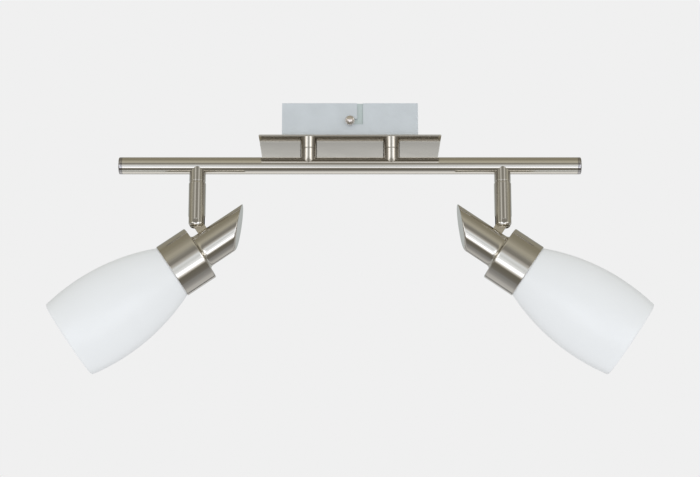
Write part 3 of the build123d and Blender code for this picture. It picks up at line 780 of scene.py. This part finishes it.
def plate_grid(node, ease):
    """Flat plate with round corners and eased edges. Its outline is
    x, y = +-(half side - corner) + corner (cos t, sin t), with the signs of t's quarter,
    and rows shrink it towards the middle of both faces."""
    low, high, middle = box_size(node)
    half = (high - low) / 2
    quarter = np.linspace(0, np.pi / 2, PLATE_COLUMNS // 4)
    t = np.concatenate([quarter + k * np.pi / 2 for k in range(4)])
    quadrant = np.repeat(np.arange(4), PLATE_COLUMNS // 4)
    sign_x = np.array([1, -1, -1, 1])[quadrant]
    sign_y = np.array([1, 1, -1, -1])[quadrant]
    path = np.stack([sign_x * (half[0] - PLATE_CORNER) + PLATE_CORNER * np.cos(t),
                     sign_y * (half[1] - PLATE_CORNER) + PLATE_CORNER * np.sin(t)], axis=-1)
    s = np.linspace(0, 1, PLATE_EDGE_ROWS)
    face_in = np.array([half[1], half[1] / 2, 2 * ease])
    edge_in = ease * (1 - s) ** 2
    inset = np.concatenate([face_in, edge_in, edge_in[::-1], face_in[::-1]])
    upper = np.concatenate([np.full(len(face_in), high[2]), high[2] - ease * s ** 2])
    lower = np.concatenate([np.full(len(face_in), low[2]), low[2] + ease * s ** 2])
    level = np.concatenate([upper, lower[::-1]])
    share = 1 - inset[:, None, None] / half[:2]
    flat = middle[:2] + share * path
    return np.concatenate([flat, np.broadcast_to(level[:, None, None], (*flat.shape[:2], 1))], axis=-1)


class BARLIGHT_OT_canopy(Operator):
    """Canopy box, cover plate, ceiling bracket and the screws that hook them together"""

    bl_idname = "barlight.canopy"
    bl_label = "Canopy"

    def execute(self, context):
        form = context.scene.bar_light_form
        finish = context.scene.bar_light_finish
        finish_nodes(zinc_sheet("zinc_sheet", tuple(finish.zinc_colour)), "canopy_box")
        # A darker copy of the canopy's zinc for the bracket: painted shade in the recess behind the slot
        finish_nodes(zinc_sheet("shaded_bracket_zinc", tuple(finish.bracket_shade_colour)), "ceiling_bracket")
        nickel = satin_nickel("satin_nickel_plate", source="Object", stretch=(30, 3000, 3000))
        grid = plate_grid("cover_plate", form.edge_easing)
        plate = put_surface("eased_cover_plate", grid, section_closed=False)
        stand_for(plate, "cover_plate", "base", nickel)
        # Lighter, pinkish nickel with a rough blur: painted sheen on the ball heads
        balls = polished_nickel("sheen_painted_balls", tuple(finish.ball_colour_and_sheen), least=0.36, most=0.42)
        finish_nodes(balls, "ball_screws")
        return {"FINISHED"}


# The lampholders

# Rows of points along a shell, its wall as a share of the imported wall, and how much deeper its thread goes
SHELL_ROWS = 140
SHELL_WALL = 0.6
THREAD_EXTRA = 0.25 * MM


def shell_grid(side, line, columns, pitch):
    """Rolled shell of the lampholder: r = outer - depth (1 + cos(2 pi a / pitch - t)) / 2, one turn of thread
    a pitch, with a wall of even thickness. The depth fades to nothing over a pitch at both ends."""
    place, out, _ = along_and_out(f"{side}_screw_shell", line)
    low, high, outer, bore = place.min(), place.max(), out.max(), out.min()
    wall = SHELL_WALL * (outer - bore)
    depth = (1 - SHELL_WALL) * (outer - bore) + THREAD_EXTRA
    t = round_angles(columns)
    a = np.linspace(low, high, SHELL_ROWS)[:, None]
    fade = np.clip(np.minimum(a - low, high - a) / pitch, 0, 1)
    thread = outer - depth * fade * (0.5 + 0.5 * np.cos(2 * np.pi * a / pitch - t))
    out_rows = np.concatenate([thread, thread[::-1] - wall])
    place_rows = np.concatenate([a, a[::-1]])
    return carried_round(place_rows, out_rows, line, columns)


class BARLIGHT_OT_lampholders(Operator):
    """Ceramic lampholders with their threaded shells, contacts and rings"""

    bl_idname = "barlight.lampholders"
    bl_label = "Lampholders"

    def execute(self, context):
        finish = context.scene.bar_light_finish
        form = context.scene.bar_light_form
        brass = bare_brass("holder_brass")
        for side in SIDES:
            grid = shell_grid(side, head_line(side), form.columns, form.thread_pitch)
            shell = put_surface(f"{side}_threaded_shell", grid)
            stand_for(shell, f"{side}_screw_shell", f"{side}_head", brass)
        finish_nodes(brass, *sided("centre_contact", "holder_terminals"))
        finish_nodes(bare_ceramic("lampholder_ceramic"), *sided("lampholder"))
        finish_nodes(moulded_plastic("ring_plastic", tuple(finish.ring_colour)), *sided("shade_ring"))
        finish_nodes(plated_steel("plated_holder_screws"), *sided("holder_screws"))
        return {"FINISHED"}


# The wiring

class BARLIGHT_OT_wiring(Operator):
    """Terminal block, earth screw, leads and the nipples that they pass through"""

    bl_idname = "barlight.wiring"
    bl_label = "Wiring"

    def execute(self, context):
        finish = context.scene.bar_light_finish
        finish_nodes(moulded_plastic("block_plastic", tuple(finish.block_colour)), "terminal_block")
        finish_nodes(bare_brass("terminal_brass"), "terminal_barrels", "earth_screw")
        finish_nodes(plated_steel("plated_fasteners"), "terminal_clamp_screws", "terminal_fixing_screws",
                     "earth_washer", "post_nipples", "post_washers", "post_nuts")
        finish_nodes(silicone_sheath("silicone_sheath"), *sided("bar_lead", "arm_lead", "head_lead"))
        return {"FINISHED"}


# The stage

# What mirroring faces see. The first number of a stop is an angle in degrees round the bar's axis, with 0 on
# the camera's side, 90 above and -90 below, or a distance aside from 0 in the middle to 1 at the far sides.
# The second is a level of light or a colour.
BANDS = (
    (-180, 0.27), (-171, 0.3), (-164.5, (0.58, 0.585, 0.58)), (-163.1, 0.0), (-158, 0.05), (-150, 0.42),
    (-128, 0.52), (-111, 0.54), (-100, 0.4), (-89, 0.25), (-80, (0.13, 0.125, 0.115)),
    (-72, (0.105, 0.1, 0.09)), (-56, (0.1, 0.095, 0.08)), (-44, (0.115, 0.105, 0.09)),
    (7, (0.14, 0.135, 0.125)), (19, (0.16, 0.155, 0.14)), (28, (0.29, 0.28, 0.24)),
    (38, (0.33, 0.315, 0.265)), (52, (0.265, 0.25, 0.205)), (70, (0.185, 0.173, 0.135)),
    (98, (0.165, 0.152, 0.116)), (115, (0.2, 0.19, 0.153)), (150, (0.17, 0.165, 0.145)),
    (163, (0.265, 0.28, 0.28)), (172, (0.265, 0.28, 0.28)), (180, 0.27))
# The bands grow darker aside, by a share that depends on the angle
BANDS_ASIDE = ((0.12, 1.0), (0.5, 0.38))
BANDS_ASIDE_SHARE = (
    (-164, 0.0), (-150, 0.5), (-128, 0.65), (-112, 1.0), (-95, 0.85), (-80, 0.2), (-74, 0.0), (18, 0.0),
    (28, 0.45), (50, 0.4), (75, 0.1))
# Panels of light, each with its stops over the angle and over the distance aside: a low strip, uprights
# on both sides of the camera, and three pairs that the steps of the heads mirror below, beside and above
PANELS = (
    (((-51, 0.0), (-44, 0.36), (-38, (0.9, 0.95, 1.07)), (-31, (0.9, 0.95, 1.07)), (-25, (0.34, 0.37, 0.41)),
      (-15, (0.32, 0.35, 0.39)), (-8, (0.44, 0.48, 0.535)), (-1, 0.25), (7, 0.0)),
     ((0.0, 0.6), (0.08, 0.92), (0.15, 1.0), (0.46, 1.0), (0.505, 0.15), (1.0, 0.1))),
    (((-25, 0.0), (-20, (0.92, 0.97, 1.1)), (-9, (0.92, 0.97, 1.1)), (1, 0.23), (17, 0.23), (22, 0.0)),
     ((0.22, 0.0), (0.32, 1.0), (0.5, 1.0), (0.6, 0.0))),
    (((-32, 0.0), (-27, 0.8), (-20, 0.8), (-16, 0.0)), ((0.52, 0.0), (0.57, 1.0), (0.68, 1.0), (0.74, 0.0))),
    (((-14, 0.0), (-9, 0.8), (13, 0.8), (19, 0.0)), ((0.66, 0.0), (0.74, 1.0), (0.91, 1.0), (0.945, 0.0))),
    (((42, 0.0), (54, 0.8), (110, 0.8), (125, 0.0)), ((0.83, 0.0), (0.87, 1.0), (0.915, 1.0), (0.945, 0.0))))
MIRROR_STRENGTH = 2.0
# What matt faces see: light that is brightest from the front and below, and its two ends
BRIGHT_SIDE = (0.0, -0.655, -0.756)
MATT_LIGHT = ((0.0, (0.50, 0.505, 0.48)), (1.0, (0.96, 0.978, 0.993)))
MATT_STRENGTH = 1.25
# Places of a Mix node's colour sockets, which share their names with other sockets
MIX_FIRST = 6
MIX_SECOND = 7
MIX_RESULT = 2
# Radius of the floor in metres, and its rows and columns
FLOOR_RADIUS = 20.0
FLOOR_ROWS = 24
FLOOR_COLUMNS = 96
# The camera's sensor in millimetres, and how far it sees in metres
SENSOR_WIDTH = 36.0
CLIP_END = 50.0


def studio_surround(world, backdrop):
    """Soft studio: a plain backdrop for the camera, even light for matt faces, and for mirroring faces
    bands of light and dark over the angle atan2(z, -y), with panels of light added to them."""
    world.use_nodes = True
    tree = world.node_tree
    tree.nodes.clear()
    link = tree.links.new

    def node(kind, **values):
        made = tree.nodes.new(kind)
        for key, value in values.items():
            setattr(made, key, value)
        return made

    def ramp(fac, stops):
        made = node("ShaderNodeValToRGB")
        elements = made.color_ramp.elements
        while len(elements) < len(stops):
            elements.new(0.5)
        for element, (place, level) in zip(elements, stops):
            element.position = place
            element.color = (*level, 1) if isinstance(level, tuple) else (level, level, level, 1)
        link(fac, made.inputs["Fac"])
        return made.outputs["Color"]

    def mixed(blend, first, second, share=None):
        made = node("ShaderNodeMix", data_type="RGBA", blend_type=blend)
        made.inputs["Factor"].default_value = 1.0
        if share is not None:
            link(share, made.inputs["Factor"])
        link(first, made.inputs[MIX_FIRST])
        link(second, made.inputs[MIX_SECOND])
        return made.outputs[MIX_RESULT]

    def background(strength, colour=None):
        made = node("ShaderNodeBackground")
        made.inputs["Strength"].default_value = strength
        if colour is not None:
            link(colour, made.inputs["Color"])
        return made

    def chosen(fac, otherwise, when):
        made = node("ShaderNodeMixShader")
        link(fac, made.inputs["Fac"])
        link(otherwise.outputs[0], made.inputs[1])
        link(when.outputs[0], made.inputs[2])
        return made

    direction = node("ShaderNodeTexCoord").outputs["Generated"]
    parts = node("ShaderNodeSeparateXYZ")
    link(direction, parts.inputs["Vector"])
    front = node("ShaderNodeMath", operation="MULTIPLY")
    front.inputs[1].default_value = -1.0
    link(parts.outputs["Y"], front.inputs[0])
    angle = node("ShaderNodeMath", operation="ARCTAN2")
    link(parts.outputs["Z"], angle.inputs[0])
    link(front.outputs[0], angle.inputs[1])
    turn = node("ShaderNodeMapRange")
    turn.inputs["From Min"].default_value = -math.pi
    turn.inputs["From Max"].default_value = math.pi
    link(angle.outputs[0], turn.inputs["Value"])
    aside = node("ShaderNodeMath", operation="ABSOLUTE")
    link(parts.outputs["X"], aside.inputs[0])

    def by_angle(stops):
        return ramp(turn.outputs["Result"], [(degrees / 360 + 0.5, level) for degrees, level in stops])

    def by_side(stops):
        return ramp(aside.outputs[0], stops)

    mirrored = mixed("MULTIPLY", by_angle(BANDS), by_side(BANDS_ASIDE), by_angle(BANDS_ASIDE_SHARE))
    for angle_stops, side_stops in PANELS:
        panel = mixed("MULTIPLY", by_angle(angle_stops), by_side(side_stops))
        mirrored = mixed("ADD", mirrored, panel)
    lean = node("ShaderNodeVectorMath", operation="DOT_PRODUCT")
    lean.inputs[1].default_value = BRIGHT_SIDE
    link(direction, lean.inputs[0])
    part = node("ShaderNodeMapRange")
    part.inputs["From Min"].default_value = -1.0
    link(lean.outputs["Value"], part.inputs["Value"])

    matt_light = background(MATT_STRENGTH, ramp(part.outputs["Result"], MATT_LIGHT))
    mirror_light = background(MIRROR_STRENGTH, mirrored)
    plain = background(backdrop)
    plain.inputs["Color"].default_value = (1, 1, 1, 1)
    rays = node("ShaderNodeLightPath")
    lights = chosen(rays.outputs["Is Glossy Ray"], otherwise=matt_light, when=mirror_light)
    seen = chosen(rays.outputs["Is Camera Ray"], otherwise=lights, when=plain)
    out = node("ShaderNodeOutputWorld")
    link(seen.outputs[0], out.inputs["Surface"])


def pale_floor(drop):
    """Round floor, pale and slightly uneven in tone, with points at the angle t and the radius r = R s^2 for
    s from 0 to 1."""
    t = round_angles(FLOOR_COLUMNS)
    r = FLOOR_RADIUS * np.linspace(0, 1, FLOOR_ROWS)[:, None] ** 2
    level = np.full((FLOOR_ROWS, FLOOR_COLUMNS), -drop)
    grid = np.stack([r * np.cos(t), r * np.sin(t), level], axis=-1)
    floor = put_surface("pale_floor", grid, section_closed=False)
    material, tree, shader = new_finish("pale_floor")
    tone = pattern(tree, scale=3.0, detail=2.0)
    set_colour(tree, shader, tone, first=(0.93, 0.93, 0.93), second=(0.97, 0.97, 0.97))
    shader.inputs["Roughness"].default_value = 0.7
    floor.data.materials.append(material)
    floor.visible_glossy = False
    floor.visible_diffuse = False


class BARLIGHT_OT_stage(Operator):
    """Camera, pale floor and soft studio light"""

    bl_idname = "barlight.stage"
    bl_label = "Stage"

    def execute(self, context):
        stage = context.scene.bar_light_stage
        scene = context.scene
        camera = bpy.data.cameras.new("photo_camera")
        camera.sensor_fit = "HORIZONTAL"
        camera.sensor_width = SENSOR_WIDTH
        camera.lens = stage.lens
        camera.clip_end = CLIP_END
        holder = bpy.data.objects.new("photo_camera", camera)
        scene.collection.objects.link(holder)
        pitch = stage.camera_pitch
        holder.location = (0, -stage.camera_distance * math.cos(pitch),
                           stage.aim_height - stage.camera_distance * math.sin(pitch))
        holder.rotation_euler = (math.pi / 2 + pitch, 0, 0)
        scene.camera = holder
        scene.world = bpy.data.worlds.new("studio_surround")
        studio_surround(scene.world, stage.backdrop)
        pale_floor(stage.floor_drop)
        scene.view_settings.view_transform = "Standard"
        return {"FINISHED"}


class BARLIGHT_PT_panel(Panel):
    """Lists the steps that dress the bar light"""

    bl_idname = "BARLIGHT_PT_panel"
    bl_label = "Bar Light"
    bl_space_type = "VIEW_3D"
    bl_region_type = "UI"
    bl_category = "Bar Light"

    def draw(self, context):
        layout = self.layout
        for step in STEPS:
            layout.operator(step.bl_idname)
        for group in ("bar_light_finish", "bar_light_form", "bar_light_stage"):
            settings = getattr(context.scene, group)
            box = layout.box()
            for key in settings.__annotations__:
                box.prop(settings, key)


STEPS = (
    BARLIGHT_OT_stage,
    BARLIGHT_OT_shades,
    BARLIGHT_OT_housings,
    BARLIGHT_OT_bar,
    BARLIGHT_OT_posts,
    BARLIGHT_OT_arms,
    BARLIGHT_OT_canopy,
    BARLIGHT_OT_lampholders,
    BARLIGHT_OT_wiring,
)
CLASSES = (BarLightFinish, BarLightForm, BarLightStage, *STEPS, BARLIGHT_PT_panel)


def register():
    for cls in CLASSES:
        bpy.utils.register_class(cls)
    bpy.types.Scene.bar_light_finish = PointerProperty(type=BarLightFinish)
    bpy.types.Scene.bar_light_form = PointerProperty(type=BarLightForm)
    bpy.types.Scene.bar_light_stage = PointerProperty(type=BarLightStage)


def unregister():
    del bpy.types.Scene.bar_light_stage
    del bpy.types.Scene.bar_light_form
    del bpy.types.Scene.bar_light_finish
    for cls in reversed(CLASSES):
        bpy.utils.unregister_class(cls)


def main():
    """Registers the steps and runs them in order."""
    register()
    for step in STEPS:
        group, name = step.bl_idname.split(".")
        getattr(getattr(bpy.ops, group), name)()


if __name__ == "__main__":
    main()
